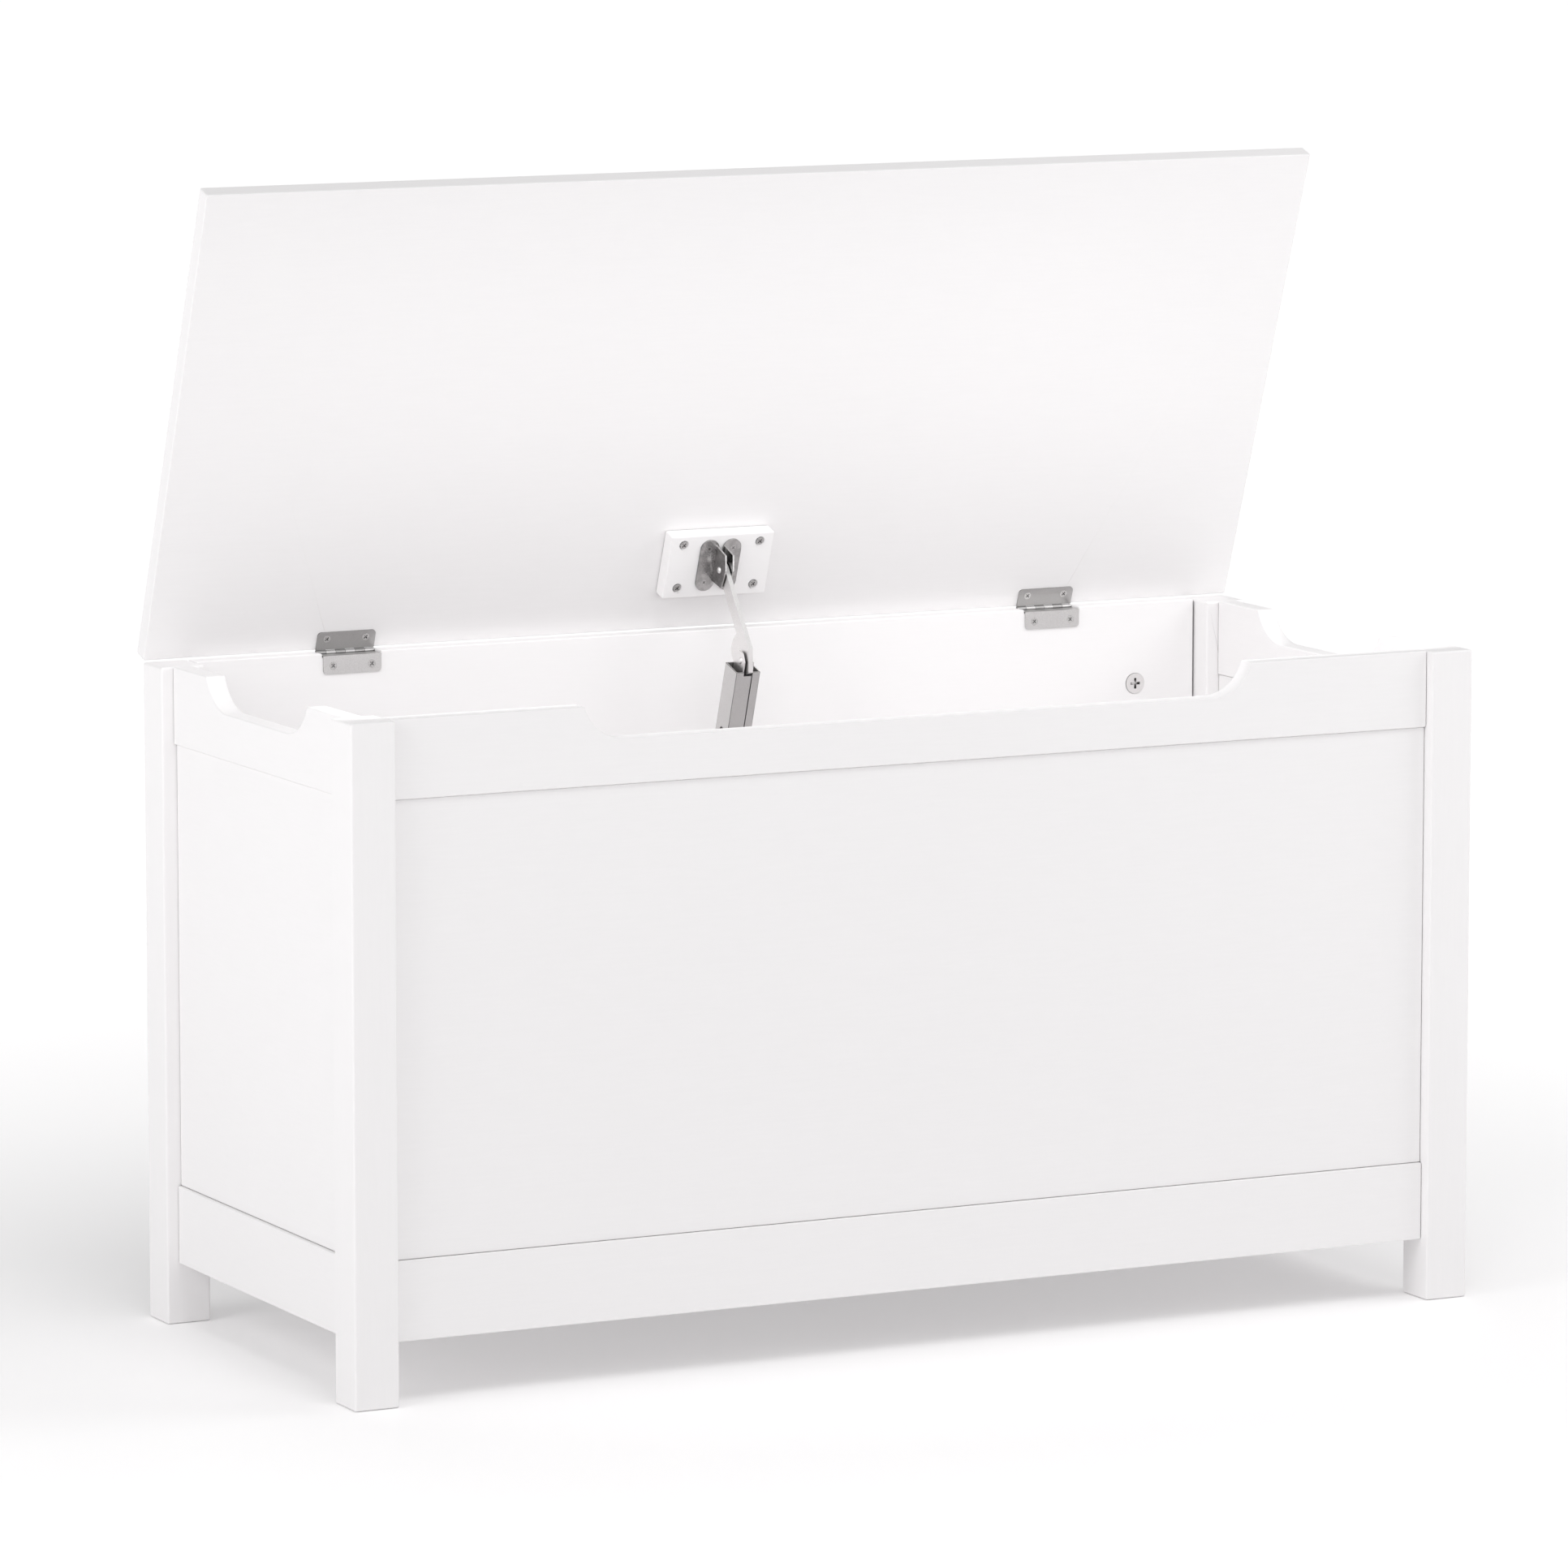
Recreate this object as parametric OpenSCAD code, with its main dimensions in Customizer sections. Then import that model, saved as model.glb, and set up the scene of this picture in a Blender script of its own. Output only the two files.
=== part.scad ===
// Storage bench with a hinged lid, a panelled box on four square posts, and a sprung lid stay.
// Millimetres. +X is to the right as seen from the front, +Y is towards the back, +Z is up.
// The origin is on the floor, in the middle of the rectangle of the four posts.
// The lid is drawn open, resting on its stay.

/* [Box] */
// Overall width, post to post
body_w = 900; // [760:10:1200]
// Overall depth, post to post
body_d = 372; // [340:2:460]
// Height of the posts
body_h = 484; // [440:2:560]
// Width of a post across the front
post_w = 34; // [30:1:42]
// Depth of a post, front to back
post_d = 35; // [32:1:42]
// Thickness of the rails and of the back board
board_t = 15; // [14:1:18]
// Thickness of the framed panels
panel_t = 12; // [11:1:13]

/* [Framing] */
// Clear height under the bottom rails
rail_clear = 45; // [30:1:80]
// Height of the bottom rails
bottom_rail_h = 57.5; // [50:0.5:80]
// Height of the top rails at their ends
top_rail_h = 56.5; // [50:0.5:80]
// How far the front rails stand back from the posts
front_recess = 8.5; // [6:0.5:13]
// How far the side rails stand back from the posts
side_recess = 9; // [6:0.5:12]
// How far a panel stands back from its rails
panel_recess = 2.2; // [1:0.1:2.4]

/* [Finger scoops] */
// Width of the front scoop at its top corners
front_scoop_w = 535; // [300:5:560]
// Depth of the front scoop
front_scoop_depth = 24; // [16:1:30]
// Radius of the front scoop's corners
front_scoop_r = 33; // [24:1:40]
// Width of a side scoop at its top corners
side_scoop_w = 180; // [140:5:200]
// Depth of a side scoop
side_scoop_depth = 23; // [16:1:30]
// Radius of a side scoop's corners
side_scoop_r = 40; // [24:1:44]

/* [Lid] */
// Width of the lid
lid_w = 901; // [760:1:1204]
// Depth of the lid, front to back
lid_d = 369; // [330:1:455]
// Thickness of the lid
lid_t = 13.5; // [12:0.5:18]
// Angle of the open lid from closed
lid_open = 70; // [70:1:72]

/* [Hardware] */
// Distance from the middle of the box to the middle of each hinge
hinge_x = 291.2; // [200:1:330]
// Width of a hinge
hinge_w = 46.4; // [40:0.4:60]
// Outer size of the stay's square tube
tube_w = 19.6; // [19:0.2:20.6]
// Width of the block that carries the stay on the lid
block_w = 85; // [80:1:110]

/* [Hidden] */

white = "white";
steel = "silver";
oak = "burlywood";

$fn = 48;
fit = 0.05;          // radial clearance of pins, screws and dowels in their holes
eps = 0.01;          // how far a cutter runs past the face that it opens

// Levels and faces of the box
half_w = body_w / 2;
half_d = body_d / 2;
bottom_rail_top = rail_clear + bottom_rail_h;
top_rail_bottom = body_h - top_rail_h;
front_rail_y = -half_d + front_recess;
side_rail_x = half_w - side_recess;
front_inner_y = front_rail_y + board_t;
side_inner_x = side_rail_x - board_t;
back_face_y = half_d - 1;
back_inner_y = back_face_y - board_t;
post_in_x = half_w - post_w;
post_in_y = half_d - post_d;
back_gap = 1.2;      // open joint between the back board and each back post

// Tongues on the panels' edges and the grooves that hold them
tongue = 8;
tongue_t = 5;
groove = tongue + 0.3;
groove_t = tongue_t + 0.2;

// Floor of the box
cleat = 20;
floor_t = 9;
floor_gap = 0.5;
cleat_z = rail_clear + 4;
floor_z = cleat_z + cleat;

// Dowels and cam fittings
dowel_r = 4;
dowel_len = 30;
cam_r = 7.4;
cam_h = 12;
cam_in = 50.8;       // from the end of a board to the middle of its cam
cam_bolt_r = 3.5;
cam_bolt_grip = 12;  // length of a cam bolt inside the post
cam_high_z = body_h - 62;
cam_low_z = rail_clear + 50;
cam_front_z = bottom_rail_top - groove - cam_r - 1.2;
cam_rail_z = top_rail_bottom + groove + cam_r + 2;

// Hinges
axis_below = 1.4;    // the hinge axis is this far below the closed lid's underside
axis_behind = 1.7;   // and this far behind the lid's rear edge
lid_gap = 0.4;       // gap between the closed lid and the posts
axis_y = half_d - 2.8;
axis_z = body_h + lid_gap - axis_below;
knuckle_r = 1.8;
hinge_pin_r = 0.9;
leaf_t = 1;
leaf_depth = 14.4;   // reach of the lid leaf along the lid
leaf_drop = 13.4;    // height of the part of the box leaf on the back board's inner face
leaf_corner = 3;
knuckles = 6;
knuckle_gap = 0.2;
hinge_screw_x = 15.5;
lid_screw_s = 9;
box_screw_z = body_h - 9.2;

// Lid stay, in the plane of the stay: [towards the back, up], measured from the hinge axis
stay_x = -0.8;       // middle plane of the stay
clevis_s = 57.9;     // clevis pin: distance from the lid's rear edge
clevis_h = 22.5;     // clevis pin: distance from the lid's underside
knee_y = axis_y - 76.7;
knee_z = axis_z - 14.7;
tube_tilt = 18.5;    // lean of the open stay's tube
tube_back = 2.4;     // the tube's middle line passes this far behind the knee
tube_top = -6.5;     // the tube's open end, below the knee along the tube
tube_end = -86;      // the tube's lower end
tube_wall = 1.2;
pin_travel = 21.8;   // how far the base pin runs along the tube while the lid closes
pin_low = -80;       // the base pin on the open stay
base_pin_r = 2.5;
slot_clear = 0.3;
rivet_r = 1.5;
rivet_head_r = 2.4;
eye_r = 5.3;
arm_t = 3.5;
cam_small = 10.7;    // least radius of the arm's cam
cam_large = 22;      // greatest radius of the arm's cam
cam_from = -40;      // the cam's radius starts to grow here
cam_to = 16;         // and is full here
cam_end = 58;        // the cam ends here, at the neck
follower_top = -10.85;
follower_h = 6;
seat_h = 8;
block_s = [31, 82];
block_t = 12;
flange_t = 1.5;
flange_w = 15;
flange_s = [36.6, 78.4];
flange_screws_s = [43.8, 71.4];
ear_t = 1.2;
ear_out = 3.1;       // from the stay's middle plane to the middle of an ear
flange_out = 9.1;    // and to the middle of a flange
fork_t = 1;
base_s = 30;

// Where the open lid puts the clevis pin, relative to the knee
lid_dir = [-cos(lid_open), sin(lid_open)];
lid_in = [-sin(lid_open), -cos(lid_open)];
clevis_arm = (clevis_s + axis_behind) * lid_dir + (clevis_h - axis_below) * lid_in;
clevis_y = axis_y + clevis_arm[0];
clevis_z = axis_z + clevis_arm[1];
reach = [clevis_y - knee_y, clevis_z - knee_z];

// ---- helpers ----

// Extrudes a [y, z] outline along X, centred on x
module across(x, width) {
    translate([x - width / 2, 0, 0])
        rotate([90, 0, 90])
            linear_extrude(width)
                children();
}

// Extrudes an [x, z] outline along Y, from y for depth
module along(y, depth) {
    translate([0, y + depth, 0])
        rotate([90, 0, 0])
            linear_extrude(depth)
                children();
}

// A block given by its two opposite corners
module span(low, high) {
    translate(low)
        cube(high - low);
}

// Places things on the lid: Y runs along its underside from the rear edge, Z stands out of the underside
module on_lid() {
    translate([0, axis_y, axis_z])
        rotate([180 - lid_open, 0, 0])
            translate([0, axis_behind, -axis_below])
                children();
}

// Places things on the stay's tube: the origin is at the knee, and Z runs up along the tube
module on_tube() {
    translate([stay_x, knee_y, knee_z])
        rotate([tube_tilt, 0, 0])
            children();
}

// Outline of a rail: a plain strip with a scoop in its top edge
module scooped(len, low, high, scoop_w, depth, r) {
    run = sqrt(r * r - (r - depth) * (r - depth));
    flat = scoop_w / 2 - run;
    difference() {
        translate([-len / 2, low])
            square([len, high - low]);
        translate([-flat, high - depth])
            square([2 * flat, depth + 1]);
        for (side = [-1, 1])
            translate([side * flat, high - depth + r])
                circle(r, $fn = 96);
    }
}

// Countersunk screw that points along -Z from a head at z = 0, with a crossed recess
module screw(head_r, shank_r, len) {
    difference() {
        screw_body(head_r, shank_r, len, 0);
        for (a = [45, 135])
            rotate([0, 0, a])
                translate([-head_r * 0.6, -head_r * 0.12, -head_r * 0.35])
                    cube([head_r * 1.2, head_r * 0.24, head_r]);
    }
}

// The solid of a screw, grown by a clearance for its hole
module screw_body(head_r, shank_r, len, grow) {
    rotate_extrude()
        polygon([
            [0, grow], [head_r + grow, grow], [head_r + grow, -0.3 - grow],
            [shank_r + grow, -(head_r - shank_r) * 0.8 - 0.3 - grow],
            [shank_r + grow, -len + shank_r], [0, -len - grow]
        ]);
}

// A rivet across the stay: a shank with a low domed head at each end
module rivet(width, shank_r, head_r, head_t) {
    rotate([0, 90, 0])
        cylinder(r = shank_r, h = width, center = true);
    for (side = [-1, 1])
        translate([side * width / 2, 0, 0])
            rotate([0, side * 90, 0])
                rotate_extrude()
                    polygon([[0, 0], [head_r, 0], [head_r * 0.9, head_t * 0.5], [head_r * 0.55, head_t],
                        [0, head_t]]);
}

// ---- posts and rails ----

module post(side_x, side_y) {
    difference() {
        span([side_x * half_w - (side_x > 0 ? post_w : 0), side_y * half_d - (side_y > 0 ? post_d : 0), 0],
            [side_x * half_w + (side_x > 0 ? 0 : post_w), side_y * half_d + (side_y > 0 ? 0 : post_d), body_h]);
        side_panel_core(side_x, groove, groove_t);
        if (side_y < 0)
            front_panel_core(groove, groove_t);
        dowels_side(fit);
        dowels_front(fit);
        cam_bolts(fit);
    }
}

// The tongue of the front panel, drawn out to the depth of its grooves
module front_panel_core(reach_out, thick) {
    mid = front_rail_y + panel_recess + panel_t / 2;
    span([-post_in_x - reach_out, mid - thick / 2, bottom_rail_top - reach_out],
        [post_in_x + reach_out, mid + thick / 2, top_rail_bottom + reach_out]);
}

// The tongue of a side panel, drawn out to the depth of its grooves
module side_panel_core(side, reach_out, thick) {
    mid = side * (side_rail_x - panel_recess - panel_t / 2);
    span([mid - thick / 2, -post_in_y - reach_out, bottom_rail_top - reach_out],
        [mid + thick / 2, post_in_y + reach_out, top_rail_bottom + reach_out]);
}

module front_rail(low, high, scoop) {
    difference() {
        along(front_rail_y, board_t)
            if (scoop)
                scooped(2 * post_in_x, low, high, front_scoop_w, front_scoop_depth, front_scoop_r);
            else
                translate([-post_in_x, low])
                    square([2 * post_in_x, high - low]);
        front_panel_core(groove, groove_t);
        dowels_front(fit);
        cams(fit);
        cam_bolts(fit);
        cleat_screw_set(fit);
    }
}

module side_rail(side, low, high, scoop) {
    difference() {
        across(side * (side_rail_x - board_t / 2), board_t)
            if (scoop)
                scooped(2 * post_in_y, low, high, side_scoop_w, side_scoop_depth, side_scoop_r);
            else
                translate([-post_in_y, low])
                    square([2 * post_in_y, high - low]);
        side_panel_core(side, groove, groove_t);
        dowels_side(fit);
        cleat_screw_set(fit);
    }
}

module front_panel() {
    color(white)
        union() {
            span([-post_in_x, front_rail_y + panel_recess, bottom_rail_top],
                [post_in_x, front_rail_y + panel_recess + panel_t, top_rail_bottom]);
            front_panel_core(tongue, tongue_t);
        }
}

module side_panel(side) {
    outer = side_rail_x - panel_recess;
    inner = outer - panel_t;
    color(white)
        union() {
            span([side > 0 ? inner : -outer, -post_in_y, bottom_rail_top],
                [side > 0 ? outer : -inner, post_in_y, top_rail_bottom]);
            side_panel_core(side, tongue, tongue_t);
        }
}

module post_front_left() { color(white) post(-1, -1); }
module post_front_right() { color(white) post(1, -1); }
module post_back_left() { color(white) post(-1, 1); }
module post_back_right() { color(white) post(1, 1); }
module front_top_rail() { color(white) front_rail(top_rail_bottom, body_h, true); }
module front_bottom_rail() { color(white) front_rail(rail_clear, bottom_rail_top, false); }
module left_top_rail() { color(white) side_rail(-1, top_rail_bottom, body_h, true); }
module left_bottom_rail() { color(white) side_rail(-1, rail_clear, bottom_rail_top, false); }
module right_top_rail() { color(white) side_rail(1, top_rail_bottom, body_h, true); }
module right_bottom_rail() { color(white) side_rail(1, rail_clear, bottom_rail_top, false); }

// ---- back and floor ----

module back_board() {
    mortise_w = hinge_w + 0.6;
    color(white)
        difference() {
            span([-post_in_x + back_gap, back_inner_y, rail_clear], [post_in_x - back_gap, back_face_y, body_h]);
            for (side = [-1, 1])
                span([side * hinge_x - mortise_w / 2, back_inner_y - eps, axis_z - knuckle_r],
                    [side * hinge_x + mortise_w / 2, back_face_y + eps, body_h + eps]);
            cams(fit);
            cam_bolts(fit);
            hinge_box_screw_set(fit);
            base_screw_set(fit);
            cleat_screw_set(fit);
        }
}

module floor_board() {
    corner = floor_gap + eps;
    color(white)
        difference() {
            span([-side_inner_x + floor_gap, front_inner_y + floor_gap, floor_z],
                [side_inner_x - floor_gap, back_inner_y - floor_gap, floor_z + floor_t]);
            for (side = [-1, 1], end = [-1, 1])
                translate([side * half_w, end * half_d, floor_z + floor_t / 2])
                    cube([2 * (post_w + corner), 2 * (post_d + corner), floor_t + 1], center = true);
        }
}

// The long cleats run along the front rail and the back board, the short ones along the side rails
module floor_cleat_long(y) {
    difference() {
        span([-post_in_x + 12, y, cleat_z], [post_in_x - 12, y + cleat, floor_z]);
        cleat_screw_set(fit);
    }
}

module floor_cleat_short(x) {
    difference() {
        span([x, -post_in_y + 14, cleat_z], [x + cleat, post_in_y - 14, floor_z]);
        cleat_screw_set(fit);
    }
}

module floor_cleat_front() { color(white) floor_cleat_long(front_inner_y); }
module floor_cleat_back() { color(white) floor_cleat_long(back_inner_y - cleat); }
module floor_cleat_left() { color(white) floor_cleat_short(-side_inner_x); }
module floor_cleat_right() { color(white) floor_cleat_short(side_inner_x - cleat); }

// Screws that hold the cleats, driven outwards
module cleat_screw_set(grow) {
    z = cleat_z + cleat / 2;
    for (i = [-2 : 2]) {
        translate([i * post_in_x * 0.42, front_inner_y + cleat, z])
            rotate([-90, 0, 0])
                cleat_screw(grow);
        translate([i * post_in_x * 0.42, back_inner_y - cleat, z])
            rotate([90, 0, 0])
                cleat_screw(grow);
    }
    for (side = [-1, 1], i = [-1 : 1])
        translate([side * (side_inner_x - cleat), i * post_in_y * 0.6, z])
            rotate([0, side * -90, 0])
                cleat_screw(grow);
}

module cleat_screw(grow) {
    if (grow > 0)
        screw_body(4, 2, 30, grow);
    else
        screw(4, 2, 30);
}

module floor_cleat_screws() { color(steel) cleat_screw_set(0); }

// ---- dowels and cam fittings ----

module peg(r, len, grow) {
    cylinder(r = r + grow, h = len + 4 * grow, center = true);
}

// Two dowels in each end of each side rail
module dowels_side(grow) {
    rails = [[rail_clear, bottom_rail_h], [top_rail_bottom, top_rail_h - side_scoop_depth + 10]];
    for (side = [-1, 1], end = [-1, 1], rail = rails, share = [0.3, 0.75])
        translate([side * (side_rail_x - board_t / 2), end * post_in_y, rail[0] + rail[1] * share])
            rotate([90, 0, 0])
                peg(dowel_r, dowel_len, grow);
}

// One dowel in each end of each front rail, above or below its cam bolt
module dowels_front(grow) {
    for (end = [-1, 1], z = [cam_front_z - 11, body_h - 16])
        translate([end * post_in_x, front_rail_y + board_t / 2, z])
            rotate([0, 90, 0])
                peg(dowel_r, dowel_len, grow);
}

module side_rail_dowels() { color(oak) dowels_side(0); }
module front_rail_dowels() { color(oak) dowels_front(0); }

// The heights of the cam fittings: in the front rails and in the back board
function cam_heights(end_y) = end_y < 0 ? [cam_front_z, cam_rail_z] : [cam_low_z, cam_high_z];

// The cams sit in the inner faces, with their slots towards the inside of the box
module cams(grow) {
    for (end = [-1, 1], end_y = [-1, 1], z = cam_heights(end_y))
        translate([end * (post_in_x - (end_y > 0 ? back_gap : 0) - cam_in),
                end_y < 0 ? front_inner_y : back_inner_y, z])
            rotate([end_y * 90, 0, 0])
                cam(grow, end, end_y);
}

module cam(grow, end, end_y) {
    if (grow > 0)
        translate([0, 0, -cam_h - grow])
            cylinder(r = cam_r + grow, h = cam_h + 1);
    else
        difference() {
            union() {
                translate([0, 0, -cam_h])
                    cylinder(r = cam_r, h = cam_h);
                cylinder(r = cam_r + 0.4, h = 0.5);
            }
            for (a = [0, 90])
                rotate([0, 0, a])
                    translate([-cam_r * 0.55, -cam_r * 0.13, -1.7])
                        cube([cam_r * 1.1, cam_r * 0.26, 3]);
            translate([0, 0, -board_t / 2])
                rotate([0, end * 90, 0])
                    translate([0, 0, -cam_bolt_r - 1])
                        cylinder(r = cam_bolt_r + fit, h = cam_r + 10);
        }
}

module cam_bolts(grow) {
    for (end = [-1, 1], end_y = [-1, 1], z = cam_heights(end_y)) {
        gap = end_y > 0 ? back_gap : 0;
        y = end_y < 0 ? front_inner_y - board_t / 2 : back_inner_y + board_t / 2;
        len = cam_in + cam_bolt_grip + gap + cam_bolt_r;
        translate([end * (post_in_x - gap - cam_in - cam_bolt_r + len / 2), y, z])
            rotate([0, 90, 0])
                peg(cam_bolt_r, len, grow);
    }
}

module cam_lock_discs() { color(steel) cams(0); }
module cam_lock_bolts() { color(steel) cam_bolts(0); }

// ---- hinges ----

// The x extent of each knuckle of one leaf: the lid leaf has the even ones and the box leaf the odd ones
function knuckle_x(i) = -hinge_w / 2 + i * hinge_w / knuckles + knuckle_gap / 2;
knuckle_w = hinge_w / knuckles - knuckle_gap;

module knuckle_row(first) {
    for (i = [first : 2 : knuckles - 1])
        translate([knuckle_x(i), 0, 0])
            rotate([0, 90, 0])
                cylinder(r = knuckle_r, h = knuckle_w);
}

// Cuts a leaf clear of the other leaf's knuckles, and bores the pin hole
module knuckle_room(first) {
    for (i = [first : 2 : knuckles - 1])
        translate([knuckle_x(i) - knuckle_gap, 0, 0])
            rotate([0, 90, 0])
                cylinder(r = knuckle_r + 0.25, h = knuckle_w + 2 * knuckle_gap);
    rotate([0, 90, 0])
        cylinder(r = hinge_pin_r + fit, h = hinge_w + 2, center = true);
}

// Outline of a leaf with two rounded corners at its free edge
module leaf_outline(len) {
    difference() {
        translate([-hinge_w / 2, 0])
            square([hinge_w, len]);
        for (side = [-1, 1])
            translate([side * (hinge_w / 2 - leaf_corner), len - leaf_corner])
                difference() {
                    translate([side > 0 ? 0 : -leaf_corner - 1, 0])
                        square(leaf_corner + 1);
                    circle(leaf_corner);
                }
    }
}

module hinge_lid_leaf(x) {
    color(steel)
        difference() {
            on_lid() translate([x, 0, 0]) {
                linear_extrude(leaf_t)
                    translate([0, -axis_behind])
                        leaf_outline(leaf_depth + axis_behind);
                translate([0, -axis_behind, axis_below])
                    knuckle_row(0);
            }
            translate([x, axis_y, axis_z])
                knuckle_room(1);
            hinge_lid_screw_set(fit);
        }
}

module hinge_box_leaf(x) {
    color(steel)
        difference() {
            translate([x, 0, 0]) {
                translate([0, axis_y, axis_z])
                    knuckle_row(1);
                span([-hinge_w / 2, back_inner_y - leaf_t, axis_z - knuckle_r],
                    [hinge_w / 2, axis_y, axis_z - knuckle_r + leaf_t]);
                translate([0, back_inner_y, axis_z - knuckle_r + leaf_t])
                    rotate([90, 180, 0])
                        linear_extrude(leaf_t)
                            leaf_outline(leaf_drop);
            }
            translate([x, axis_y, axis_z])
                knuckle_room(0);
            hinge_box_screw_set(fit);
        }
}

module hinge_pin(x) {
    color(steel)
        translate([x, axis_y, axis_z])
            rotate([0, 90, 0])
                cylinder(r = hinge_pin_r, h = hinge_w, center = true);
}

module hinge_screw(grow) {
    if (grow > 0)
        screw_body(2.9, 1.5, 10, grow);
    else
        screw(2.9, 1.5, 10);
}

module hinge_lid_screw_set(grow) {
    for (side = [-1, 1], end = [-1, 1])
        on_lid()
            translate([side * hinge_x + end * hinge_screw_x, lid_screw_s, leaf_t])
                hinge_screw(grow);
}

module hinge_box_screw_set(grow) {
    for (side = [-1, 1], end = [-1, 1])
        translate([side * hinge_x + end * hinge_screw_x, back_inner_y - leaf_t, box_screw_z])
            rotate([90, 0, 0])
                hinge_screw(grow);
}

module hinge_lid_leaf_left() { hinge_lid_leaf(-hinge_x); }
module hinge_lid_leaf_right() { hinge_lid_leaf(hinge_x); }
module hinge_box_leaf_left() { hinge_box_leaf(-hinge_x); }
module hinge_box_leaf_right() { hinge_box_leaf(hinge_x); }
module hinge_pin_left() { hinge_pin(-hinge_x); }
module hinge_pin_right() { hinge_pin(hinge_x); }
module hinge_lid_screws() { color(steel) hinge_lid_screw_set(0); }
module hinge_box_screws() { color(steel) hinge_box_screw_set(0); }

// ---- lid ----

module lid_panel() {
    color(white)
        difference() {
            on_lid()
                translate([-lid_w / 2, 0, -lid_t])
                    cube([lid_w, lid_d, lid_t]);
            hinge_lid_screw_set(fit);
            block_screw_set(fit);
        }
}

module stay_block() {
    color(white)
        difference() {
            on_lid()
                translate([-block_w / 2, block_s[0], 0])
                    cube([block_w, block_s[1] - block_s[0], block_t]);
            block_screw_set(fit);
            clevis_screw_set(fit);
        }
}

module block_screw_set(grow) {
    for (side = [-1, 1], s = [block_s[0] + 8.4, block_s[1] - 7.2])
        on_lid()
            translate([side * (block_w / 2 - 11), s, block_t])
                if (grow > 0)
                    screw_body(3.1, 1.7, 21, grow);
                else
                    screw(3.1, 1.7, 21);
}

module stay_block_screws() { color(steel) block_screw_set(0); }

// ---- stay: the two halves of the clevis ----

// Side view of an ear: [distance along the lid, distance from the underside]
module ear_outline() {
    polygon([[44.7, block_t], [46.4, 29], [61.4, 32], [72.5, 28], [73, block_t]]);
}

module clevis(side) {
    ear_x = stay_x + side * ear_out;
    flange_x = stay_x + side * flange_out;
    half = flange_w / 2;
    color(steel)
        difference() {
            on_lid() {
                translate([0, 0, block_t])
                    linear_extrude(flange_t) {
                        for (s = [flange_s[0] + half, flange_s[1] - half])
                            translate([flange_x, s])
                                circle(half);
                        translate([flange_x - half, flange_s[0] + half])
                            square([flange_w, flange_s[1] - flange_s[0] - flange_w]);
                    }
                across(ear_x, ear_t)
                    ear_outline();
            }
            clevis_screw_set(fit);
            translate([0, clevis_y, clevis_z])
                rotate([0, 90, 0])
                    cylinder(r = rivet_r + fit, h = 60, center = true);
        }
}

module clevis_screw_set(grow) {
    for (side = [-1, 1], s = flange_screws_s)
        on_lid()
            translate([stay_x + side * (flange_out + 0.8), s, block_t + flange_t])
                if (grow > 0)
                    screw_body(2.2, 1.3, 10, grow);
                else
                    screw(2.2, 1.3, 10);
}

module stay_clevis_left() { clevis(-1); }
module stay_clevis_right() { clevis(1); }
module stay_clevis_screws() { color(steel) clevis_screw_set(0); }

module stay_clevis_rivet() {
    color(steel)
        translate([stay_x, clevis_y, clevis_z])
            rivet(2 * ear_out + ear_t, rivet_r, rivet_head_r, 1.1);
}

// ---- stay: arm ----

// Radius of the cam at the angle a, which is 0 towards the back and 90 upwards on the open stay
function cam_radius(a) =
    a > cam_to ? cam_large
    : a > cam_from ? cam_small + (cam_large - cam_small) * (a - cam_from) / (cam_to - cam_from)
    : cam_small;

module stay_arm() {
    shoulder = [-8.5, 9.8];
    stop = [-8.5, -8.3];
    reach_len = norm(reach - shoulder);
    lean = atan2(reach[0] - shoulder[0], reach[1] - shoulder[1]) - asin(eye_r / reach_len);
    out = [-cos(lean), sin(lean)];
    neck = cam_large * [cos(cam_end), sin(cam_end)];
    color(steel)
        difference() {
            translate([0, knee_y, knee_z])
                across(stay_x, arm_t) {
                    polygon(concat(
                        [reach + eye_r * out, shoulder, stop],
                        [for (a = [-110 : 4 : cam_end]) cam_radius(a) * [cos(a), sin(a)]],
                        [neck, reach - eye_r * out]
                    ));
                    translate(reach)
                        circle(eye_r);
                }
            translate([0, clevis_y, clevis_z])
                rotate([0, 90, 0])
                    cylinder(r = rivet_r + fit, h = 60, center = true);
            translate([0, knee_y, knee_z])
                rotate([0, 90, 0])
                    cylinder(r = rivet_r + fit, h = 60, center = true);
        }
}

// ---- stay: tube, fork and rivet at the knee ----

module stay_tube() {
    half = tube_w / 2;
    inner = tube_w - 2 * tube_wall;
    color(steel)
        difference() {
            on_tube()
                difference() {
                    translate([-half, tube_back - half, tube_end])
                        cube([tube_w, tube_w, tube_top - tube_end]);
                    translate([-inner / 2, tube_back - inner / 2, tube_end - 1])
                        cube([inner, inner, tube_top - tube_end + 2]);
                    // room for the arm's front corner and for its cam
                    translate([-3.4, tube_back - half - 1, tube_top - 2.9])
                        cube([6.8, 4, 4]);
                    translate([-2.4, tube_back, tube_top - 13.5])
                        cube([4.8, half + 1, 15]);
                    // butt joint of the rolled strip
                    translate([3.1, tube_back - half - 1, tube_end - 1])
                        cube([0.3, 2.5, tube_top - tube_end + 2]);
                    base_slot();
                }
        }
}

// The slot in both side walls, in which the base pin runs
module base_slot() {
    r = base_pin_r + slot_clear;
    for (z = [pin_low, pin_low + pin_travel])
        translate([0, tube_back, z])
            rotate([0, 90, 0])
                cylinder(r = r, h = tube_w + 2, center = true);
    translate([-tube_w / 2 - 1, tube_back - r, pin_low])
        cube([tube_w + 2, 2 * r, pin_travel]);
}

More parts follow.
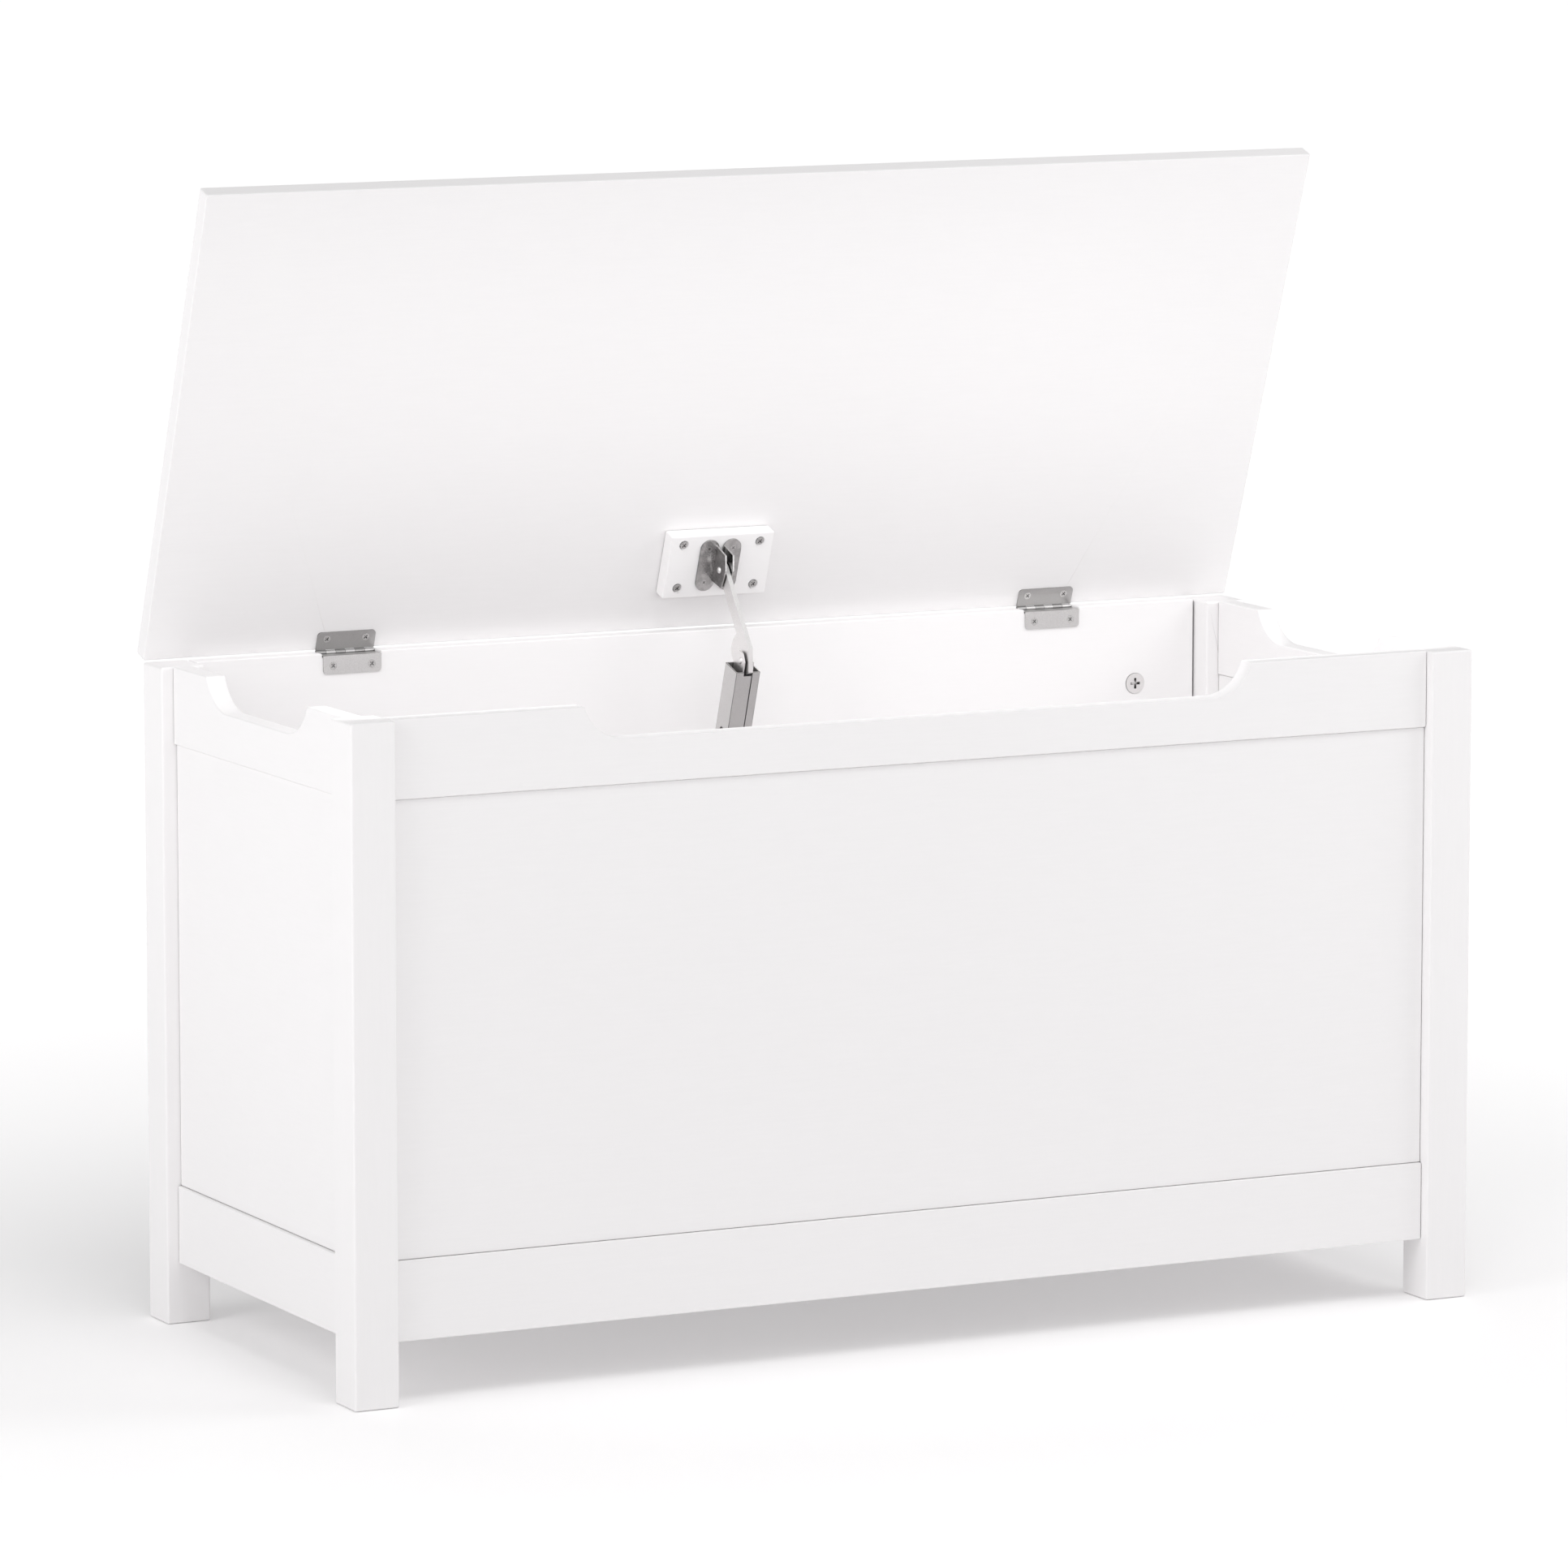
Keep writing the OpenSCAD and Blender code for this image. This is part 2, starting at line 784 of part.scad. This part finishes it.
// Two ears that hold the knee, joined below the arm's cam by a web pressed into the tube
module stay_knee_fork() {
    inner = tube_w - 2 * tube_wall - 0.1;
    ear_in = arm_t / 2 + 1.4;
    low = -30;
    web_h = -low - cam_large - 1;
    color(steel)
        on_tube()
            difference() {
                union() {
                    for (side = [-1, 1])
                        across(side * (ear_in + fork_t / 2), fork_t)
                            polygon([[-6, low], [-6, 1.2], [-1.2, 6.4], [4.4, 6.4], [10.2, -1.4], [10.2, low]]);
                    translate([-inner / 2, -6, low])
                        cube([inner, 0.9, web_h]);
                }
                rotate([0, 90, 0])
                    cylinder(r = rivet_r + fit, h = 60, center = true);
            }
}

module stay_knee_rivet() {
    color(steel)
        translate([stay_x, knee_y, knee_z])
            rivet(arm_t + 2 * (1.4 + fork_t), rivet_r, rivet_head_r, 1.2);
}

// ---- stay: follower, spring and seat inside the tube ----

module stay_follower() {
    inner = tube_w - 2 * tube_wall - 0.4;
    fork_gap = arm_t + 2 * 1.4 - 0.4;
    color("dimgray")
        on_tube()
            translate([0, tube_back, follower_top - follower_h])
                difference() {
                    translate([-fork_gap / 2, -inner / 2 + 1.2, 0])
                        cube([fork_gap, inner - 2.2, follower_h]);
                    translate([0, 0, -1])
                        cylinder(r = 1, h = 3);
                }
}

// Turns of the spring, as stacked rings joined by a thin post
module stay_spring() {
    low = pin_low + seat_h / 2 + 0.3;
    high = follower_top - follower_h - 0.3;
    turns = 9;
    wire = 1;
    color(steel)
        on_tube()
            translate([0, tube_back, 0]) {
                for (i = [0 : turns])
                    translate([0, 0, low + wire + i * (high - low - 2 * wire) / turns])
                        rotate_extrude()
                            translate([1.6, 0])
                                circle(wire, $fn = 16);
                translate([1.6, 0, low + wire])
                    cylinder(r = 0.5, h = high - low - 2 * wire);
            }
}

module stay_spring_seat() {
    inner = tube_w - 2 * tube_wall - 0.5;
    color("dimgray")
        on_tube()
            difference() {
                translate([-inner / 2, tube_back - inner / 2, pin_low - seat_h / 2])
                    cube([inner, inner, seat_h]);
                translate([0, tube_back, pin_low])
                    rotate([0, 90, 0])
                        cylinder(r = base_pin_r + fit, h = 60, center = true);
            }
}

// ---- stay: base on the back board ----

base_pin_y = knee_y + tube_back * cos(tube_tilt) - pin_low * sin(tube_tilt);
base_pin_z = knee_z + tube_back * sin(tube_tilt) + pin_low * cos(tube_tilt);

module stay_base_bracket() {
    cheek = tube_w / 2 + 0.8;
    color(steel)
        difference() {
            union() {
                span([stay_x - cheek - 14, back_inner_y - 2, base_pin_z - base_s / 2],
                    [stay_x + cheek + 14, back_inner_y, base_pin_z + base_s / 2]);
                for (side = [-1, 1])
                    across(stay_x + side * (cheek + 1), 2) {
                        translate([base_pin_y, base_pin_z])
                            circle(6);
                        polygon([[base_pin_y, base_pin_z - 6], [back_inner_y - 1, base_pin_z - base_s / 2],
                            [back_inner_y - 1, base_pin_z + base_s / 2 - 9], [base_pin_y, base_pin_z + 6]]);
                    }
            }
            translate([stay_x, base_pin_y, base_pin_z])
                rotate([0, 90, 0])
                    cylinder(r = base_pin_r + fit, h = 60, center = true);
            base_screw_set(fit);
        }
}

module stay_base_pin() {
    color(steel)
        translate([stay_x, base_pin_y, base_pin_z])
            rivet(tube_w + 5.8, base_pin_r, base_pin_r + 1.5, 1.4);
}

module base_screw_set(grow) {
    for (side = [-1, 1], end = [-1, 1])
        translate([stay_x + side * (tube_w / 2 + 9), back_inner_y - 2, base_pin_z + end * 9])
            rotate([90, 0, 0])
                if (grow > 0)
                    screw_body(3, 1.6, 14, grow);
                else
                    screw(3, 1.6, 14);
}

module stay_base_screws() { color(steel) base_screw_set(0); }

module left_panel() { side_panel(-1); }
module right_panel() { side_panel(1); }

post_front_left();
post_front_right();
post_back_left();
post_back_right();
front_top_rail();
front_panel();
front_bottom_rail();
left_top_rail();
left_panel();
left_bottom_rail();
right_top_rail();
right_panel();
right_bottom_rail();
back_board();
floor_board();
floor_cleat_front();
floor_cleat_back();
floor_cleat_left();
floor_cleat_right();
floor_cleat_screws();
side_rail_dowels();
front_rail_dowels();
cam_lock_discs();
cam_lock_bolts();
hinge_box_leaf_left();
hinge_box_leaf_right();
hinge_pin_left();
hinge_pin_right();
hinge_box_screws();
stay_base_bracket();
stay_base_pin();
stay_base_screws();
lid_panel();
hinge_lid_leaf_left();
hinge_lid_leaf_right();
hinge_lid_screws();
stay_block();
stay_block_screws();
stay_clevis_left();
stay_clevis_right();
stay_clevis_screws();
stay_clevis_rivet();
stay_arm();
stay_tube();
stay_knee_fork();
stay_knee_rivet();
stay_follower();
stay_spring();
stay_spring_seat();
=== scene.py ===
"""Looks of a white storage bench with a hinged lid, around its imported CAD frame.

Everything is in metres, in the CAD frame: X to the right, Y to the back, Z up.
Every CAD node keeps its shape. It gets a material, and the wooden parts and the stay's tube get
rounded edges. The rest is a studio floor, lights and a camera.
"""

import math

import bpy
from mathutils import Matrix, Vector


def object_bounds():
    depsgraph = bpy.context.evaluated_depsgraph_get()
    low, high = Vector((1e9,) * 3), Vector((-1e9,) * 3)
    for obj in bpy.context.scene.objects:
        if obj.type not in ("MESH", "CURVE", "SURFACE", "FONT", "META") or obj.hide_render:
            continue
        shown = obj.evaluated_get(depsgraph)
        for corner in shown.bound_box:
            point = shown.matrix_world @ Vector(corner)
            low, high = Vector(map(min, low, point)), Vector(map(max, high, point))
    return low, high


MM = 0.001

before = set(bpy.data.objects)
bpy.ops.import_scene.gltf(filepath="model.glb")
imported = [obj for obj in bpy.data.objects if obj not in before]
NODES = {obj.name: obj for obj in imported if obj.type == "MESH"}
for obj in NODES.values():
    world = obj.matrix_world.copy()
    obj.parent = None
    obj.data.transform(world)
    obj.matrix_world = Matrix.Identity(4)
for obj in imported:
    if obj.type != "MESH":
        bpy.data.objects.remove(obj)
cad_low, cad_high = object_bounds()


# ---- shader helpers ----


def new_material(name, base, roughness, metallic=0.0):
    """A material with a Principled shader; returns it, its node tree and the shader."""
    material = bpy.data.materials.new(name)
    material.use_nodes = True
    tree = material.node_tree
    shader = tree.nodes["Principled BSDF"]
    shader.inputs["Base Color"].default_value = (*base, 1)
    shader.inputs["Roughness"].default_value = roughness
    shader.inputs["Metallic"].default_value = metallic
    return material, tree, shader


def shade(colour, share):
    """The colour times a share, no brighter than white."""
    return [min(1, c * share) for c in colour]


def noise(tree, scale, stretch=(1, 1, 1), detail=3.0):
    """Noise in the object's own coordinates, stretched along its axes; returns its value socket."""
    coords = tree.nodes.new("ShaderNodeTexCoord")
    mapping = tree.nodes.new("ShaderNodeMapping")
    mapping.inputs["Scale"].default_value = stretch
    texture = tree.nodes.new("ShaderNodeTexNoise")
    texture.inputs["Scale"].default_value = scale
    texture.inputs["Detail"].default_value = detail
    tree.links.new(coords.outputs["Object"], mapping.inputs["Vector"])
    tree.links.new(mapping.outputs["Vector"], texture.inputs["Vector"])
    return texture.outputs["Fac"]


def spread(tree, value, low, high, from_low=0.3, from_high=0.7):
    """Maps a value to the range low..high; the range it comes from is that of noise by default."""
    node = tree.nodes.new("ShaderNodeMapRange")
    node.inputs["From Min"].default_value = from_low
    node.inputs["From Max"].default_value = from_high
    node.inputs["To Min"].default_value = low
    node.inputs["To Max"].default_value = high
    tree.links.new(value, node.inputs["Value"])
    return node.outputs["Result"]


def times(tree, first, second):
    """The product of two values."""
    node = tree.nodes.new("ShaderNodeMath")
    node.operation = "MULTIPLY"
    tree.links.new(first, node.inputs[0])
    tree.links.new(second, node.inputs[1])
    return node.outputs["Value"]


def hollow_shade_mask(tree, reach, low, high):
    """1 on open faces, falling to 0 in recesses and joints narrower than the reach; the materials paint
    shade there with it.
    """
    node = tree.nodes.new("ShaderNodeAmbientOcclusion")
    node.samples = 6
    node.inputs["Distance"].default_value = reach
    return spread(tree, node.outputs["AO"], 0, 1, low, high)


def turned_along_x(tree):
    """1 on faces that look along X in the object's own coordinates, 0 on those across it."""
    coords = tree.nodes.new("ShaderNodeTexCoord")
    parts = tree.nodes.new("ShaderNodeSeparateXYZ")
    size = tree.nodes.new("ShaderNodeMath")
    size.operation = "ABSOLUTE"
    tree.links.new(coords.outputs["Normal"], parts.inputs[0])
    tree.links.new(parts.outputs["X"], size.inputs[0])
    return size.outputs["Value"]


def tint(tree, shader, value, *stops):
    """Colours the shader by a value; each stop is a place from 0 to 1 and its colour."""
    node = tree.nodes.new("ShaderNodeValToRGB")
    elements = node.color_ramp.elements
    while len(elements) < len(stops):
        elements.new(0.5)
    for element, (place, colour) in zip(elements, stops):
        element.position = place
        element.color = (*colour, 1)
    tree.links.new(value, node.inputs["Fac"])
    tree.links.new(node.outputs["Color"], shader.inputs["Base Color"])


def roughen(tree, shader, value, low, high):
    """Varies the shader's roughness between two limits by a noise value."""
    tree.links.new(spread(tree, value, low, high), shader.inputs["Roughness"])


def bump(tree, shader, value, strength, height):
    """Raises the surface by a value."""
    node = tree.nodes.new("ShaderNodeBump")
    node.inputs["Strength"].default_value = strength
    node.inputs["Distance"].default_value = height
    tree.links.new(value, node.inputs["Height"])
    tree.links.new(node.outputs["Normal"], shader.inputs["Normal"])


# ---- materials ----

WHITE_TINT = (1.0, 0.986, 0.99)
STEEL_TINT = (1.0, 0.985, 0.98)
PAINTED_SHADE_BLACK = (0.015, 0.015, 0.015)

# how much noise is stretched along each axis, so that grain runs along it
GRAIN = {"x": (0.04, 1, 1), "y": (1, 0.04, 1), "z": (1, 1, 0.04)}
JOINT_SHADE_REACH = 3 * MM


def white_paint(name, along, white=0.93):
    """Satin paint over wood whose grain runs along one axis and just shows through, with painted shade
    darkening it in the joints between parts.
    """
    base = shade(WHITE_TINT, white)
    material, tree, shader = new_material(name, base, 0.42)
    grain = noise(tree, 900, GRAIN[along], detail=4)
    # painted shade: ambient occlusion darkens the paint towards half its white in joints and recesses
    joint_shade = hollow_shade_mask(tree, JOINT_SHADE_REACH, 0.08, 0.5)
    body = times(tree, joint_shade, spread(tree, grain, 0.8, 1))
    tint(tree, shader, body, (0, shade(base, 0.5)), (0.8, shade(base, 0.992)), (1, shade(base, 1.004)))
    roughen(tree, shader, noise(tree, 60), 0.38, 0.48)
    bump(tree, shader, grain, 0.12, 0.1 * MM)
    return material


def bare_wood(name, along):
    """Unpainted hardwood with its grain along one axis."""
    material, tree, shader = new_material(name, (0.7, 0.5, 0.3), 0.6)
    grain = noise(tree, 220, GRAIN[along], detail=5)
    tint(tree, shader, spread(tree, grain, 0, 1), (0, (0.56, 0.40, 0.24)), (1, (0.74, 0.58, 0.40)))
    bump(tree, shader, grain, 0.3, 0.2 * MM)
    return material


def steel(name, grey, roughness=0.36, reach=2 * MM, mottle=0.0, shaded_side_share=1.0):
    """Satin steel with painted shade: it is painted black in its recesses, which are narrower than the
    reach.

    mottle is how much its large cloudy marks darken it, and the last argument the share of its brightness
    that faces turned along X keep, which paints shade on those sides.
    """
    base = shade(STEEL_TINT, grey)
    material, tree, shader = new_material(name, base, roughness, 1.0)
    fine = noise(tree, 2500)
    clouds = spread(tree, noise(tree, 160, detail=4), 1 - mottle, 1, 0.4, 0.6)
    body = times(tree, clouds, spread(tree, fine, 0.8, 1))
    # painted shade: black where ambient occlusion finds recesses, such as screw crosses and hinge knuckle
    # gaps
    body = times(tree, hollow_shade_mask(tree, reach, 0.2, 0.65), body)
    # painted shade: faces turned along X are darkened by their normal
    if shaded_side_share < 1:
        body = times(tree, body, spread(tree, turned_along_x(tree), 1, shaded_side_share, 0.2, 0.9))
    tint(tree, shader, body, (0, PAINTED_SHADE_BLACK), (0.8, shade(base, 0.88)), (1, shade(base, 1.08)))
    roughen(tree, shader, fine, roughness - 0.06, roughness + 0.06)
    bump(tree, shader, fine, 0.12, 0.05 * MM)
    return material


def moulded_plastic(name):
    """Dark plastic with a fine moulded texture."""
    material, tree, shader = new_material(name, (0.05, 0.05, 0.055), 0.5)
    texture = noise(tree, 1200)
    tint(tree, shader, spread(tree, texture, 0, 1), (0, (0.04, 0.04, 0.045)), (1, (0.06, 0.06, 0.065)))
    roughen(tree, shader, texture, 0.42, 0.58)
    bump(tree, shader, texture, 0.3, 0.1 * MM)
    return material


PAINT = {axis: white_paint("white_paint_" + axis, axis) for axis in "xyz"}
# painted light: a brighter copy of the white paint for the inside of the box, standing in for the light
# that fills it
LIT_INNER_PAINT = white_paint("white_paint_inner_painted_light", "x", 0.96)
# painted shade: a darker copy of the white paint for the lid, to tone down the light on it
SHADED_LID_PAINT = white_paint("white_paint_lid_painted_shade", "x", 0.9)
WOOD = {axis: bare_wood("bare_wood_" + axis, axis) for axis in "xyz"}
HINGE_STEEL = steel("hinge_steel", 0.71, reach=4 * MM)
# painted shade: the leaves on the lid are the same steel as the rest of the hinge, painted darker
SHADED_LID_LEAF_STEEL = steel("hinge_lid_leaf_steel_painted_shade", 0.49, reach=4 * MM)
STAY_STEEL = steel("stay_steel", 0.90)
TUBE_STEEL = steel("stay_tube_steel", 0.68, 0.40)
# painted shade: a dark copy of the tube's steel for the line along its rounded edges
TUBE_EDGE_SHADE = steel("stay_tube_edge_painted_shade", 0.26, 0.40)
CLEVIS_STEEL = steel("clevis_steel", 0.64, 0.26, mottle=0.25, shaded_side_share=0.60)
SCREW_STEEL = steel("screw_steel", 0.66, 0.28, reach=1.5 * MM)
CAM_STEEL = steel("cam_lock_steel", 0.86, 0.40, reach=3 * MM)
PLASTIC = moulded_plastic("dark_plastic")


# ---- CAD nodes: materials and rounded edges ----

WELD_REACH = 0.01 * MM
SHARP_EDGE = 40  # degrees between two faces, above which their edge is rounded
POST_EASE = 1.8 * MM
BOARD_EASE = 1.0 * MM
TUBE_EASE = 0.35 * MM


def dress(name, material, ease=0.0, segments=2, edge=None):
    """Gives a CAD node its material and rounds its edges, which may have a material of their own."""
    obj = NODES[name]
    obj.data.materials.clear()
    obj.data.materials.append(material)
    if edge:
        obj.data.materials.append(edge)
    weld = obj.modifiers.new("weld", "WELD")
    weld.merge_threshold = WELD_REACH
    if ease:
        bevel = obj.modifiers.new("ease", "BEVEL")
        bevel.width = ease
        bevel.segments = segments
        bevel.limit_method = "ANGLE"
        bevel.angle_limit = math.radians(SHARP_EDGE)
        bevel.harden_normals = True
        bevel.use_clamp_overlap = False
        # without this the rounding runs out along the triangles of the flat faces
        bevel.loop_slide = False
        bevel.material = 1 if edge else -1


for name in [n for n in NODES if n.startswith("post_")]:
    dress(name, PAINT["z"], POST_EASE, 3)
for part in ["top_rail", "panel", "bottom_rail"]:
    dress(f"front_{part}", PAINT["x"], BOARD_EASE)
    dress(f"left_{part}", PAINT["y"], BOARD_EASE)
    dress(f"right_{part}", PAINT["y"], BOARD_EASE)
for name in ["back_board", "stay_block"]:
    dress(name, LIT_INNER_PAINT, BOARD_EASE)
dress("lid_panel", SHADED_LID_PAINT, BOARD_EASE)
for name in ["floor_board", "floor_cleat_front", "floor_cleat_back"]:
    dress(name, LIT_INNER_PAINT)
for name in ["floor_cleat_left", "floor_cleat_right"]:
    dress(name, PAINT["y"])
dress("side_rail_dowels", WOOD["y"])
dress("front_rail_dowels", WOOD["x"])
for name in [n for n in NODES if n.startswith("hinge_") and "screws" not in n]:
    dress(name, SHADED_LID_LEAF_STEEL if "lid_leaf" in name else HINGE_STEEL)
for name in [n for n in NODES if n.endswith("_screws")] + ["cam_lock_bolts"]:
    dress(name, SCREW_STEEL)
dress("cam_lock_discs", CAM_STEEL)
# the tube's rounded edges get the painted shade line
dress("stay_tube", TUBE_STEEL, TUBE_EASE, edge=TUBE_EDGE_SHADE)
for name in ["stay_arm", "stay_knee_fork", "stay_knee_rivet", "stay_clevis_rivet",
             "stay_base_bracket", "stay_base_pin", "stay_spring"]:
    dress(name, STAY_STEEL)
for name in ["stay_clevis_left", "stay_clevis_right"]:
    dress(name, CLEVIS_STEEL)
for name in ["stay_follower", "stay_spring_seat"]:
    dress(name, PLASTIC)


# ---- studio floor ----

FLOOR_SIZE = 80
FLOOR_GLOW_NEAR = 0.155
FLOOR_GLOW_FAR = 0.63
GLOW_STARTS = 0.5   # metres from the middle of the bench
GLOW_IS_FULL = 2.1
FRONT_GLOW_SHARE = 0.5
FRONT_FADE_ENDS = -1.9   # along Y, in front of the bench
FRONT_FADE_STARTS = -1.1


def floor_paint():
    """White floor that glows more with its distance, so that it fades into a white background."""
    material, tree, shader = new_material("studio_floor", (0.93, 0.92, 0.925), 0.6)
    shader.inputs["Emission Color"].default_value = (1, 1, 1, 1)
    position = tree.nodes.new("ShaderNodeNewGeometry")
    away = tree.nodes.new("ShaderNodeVectorMath")
    away.operation = "LENGTH"
    tree.links.new(position.outputs["Position"], away.inputs[0])
    glow = spread(tree, away.outputs["Value"], FLOOR_GLOW_NEAR, FLOOR_GLOW_FAR, GLOW_STARTS, GLOW_IS_FULL)
    # well in front of the bench it glows less, so that it doesn't burn out the lid's underside
    depth = tree.nodes.new("ShaderNodeSeparateXYZ")
    tree.links.new(position.outputs["Position"], depth.inputs[0])
    share = spread(tree, depth.outputs["Y"], FRONT_GLOW_SHARE, 1, FRONT_FADE_ENDS, FRONT_FADE_STARTS)
    tree.links.new(times(tree, glow, share), shader.inputs["Emission Strength"])
    return material


def add_floor():
    """A square floor under the feet of the bench."""
    mesh = bpy.data.meshes.new("studio_floor")
    half = FLOOR_SIZE / 2
    corners = [(x * half, y * half, 0) for x, y in ((-1, -1), (1, -1), (1, 1), (-1, 1))]
    mesh.from_pydata(corners, [], [(0, 1, 2, 3)])
    mesh.materials.append(floor_paint())
    obj = bpy.data.objects.new("studio_floor", mesh)
    obj.location = (0, 0, cad_low.z)
    bpy.context.scene.collection.objects.link(obj)


add_floor()


# ---- lights ----

BENCH_MIDDLE = (0, 0, 0.35)
LID_FOOT = (0, 0.18, 0.48)
RIGHT_END = (0.44, 0.10, 0.43)
SKY_DISTANCE = 5.0


def softbox(name, centre, target, size, watts, height=None):
    """An area light at a point, turned towards another; square unless a height is given."""
    light = bpy.data.lights.new(name, "AREA")
    light.shape = "RECTANGLE"
    light.size = size
    light.size_y = height or size
    light.energy = watts
    obj = bpy.data.objects.new(name, light)
    obj.location = centre
    obj.rotation_mode = "QUATERNION"
    obj.rotation_quaternion = (Vector(target) - Vector(centre)).to_track_quat("-Z", "Y")
    obj.visible_camera = False
    bpy.context.scene.collection.objects.link(obj)


def sky_softbox(name, azimuth, elevation, size, watts):
    """A far softbox that looks at the bench; azimuth 0 is in front of it and 90 to its left."""
    a, e = math.radians(azimuth), math.radians(elevation)
    way = Vector((-math.sin(a) * math.cos(e), -math.cos(a) * math.cos(e), math.sin(e)))
    softbox(name, Vector(BENCH_MIDDLE) + SKY_DISTANCE * way, BENCH_MIDDLE, size, watts)


sky_softbox("key", 43, 25, 1.6, 7)
sky_softbox("left", 75, 25, 2.5, 61)
sky_softbox("top_front", 15, 60, 2.0, 50)
softbox("near_right", (1.6, -0.7, 1.5), (0, 0.1, 0.5), 1.2, 11)
# a strip low in front of the open lid, which fills the box and the foot of the lid
softbox("strip", (0, -0.16, 0.55), LID_FOOT, 0.9, 0.5, 0.1)
# a small light inside the box, which fills its right end and is low enough for the lid to shut over it
softbox("inside", (0.15, -0.05, 0.41), RIGHT_END, 0.12, 0.03)

world = bpy.data.worlds.new("studio")
world.use_nodes = True
sky = world.node_tree.nodes["Background"]
sky.inputs["Color"].default_value = (1, 1, 1, 1)
sky.inputs["Strength"].default_value = 0.42
bpy.context.scene.world = world


# ---- camera ----

CAMERA_PLACE = (-2.8776, -5.6777, 1.3056)
CAMERA_DIP = 8.191       # degrees below level
CAMERA_TURN = -26.696    # degrees about Z from straight ahead
CAMERA_LENS = 201.85
SENSOR_WIDTH = 36

camera = bpy.data.cameras.new("camera")
camera.sensor_width = SENSOR_WIDTH
camera.lens = CAMERA_LENS
camera.clip_start = 0.1
camera.clip_end = 200
camera_obj = bpy.data.objects.new("camera", camera)
camera_obj.location = CAMERA_PLACE
camera_obj.rotation_euler = (math.radians(90 - CAMERA_DIP), 0, math.radians(CAMERA_TURN))
bpy.context.scene.collection.objects.link(camera_obj)
bpy.context.scene.camera = camera_obj
bpy.context.scene.view_settings.view_transform = "Standard"
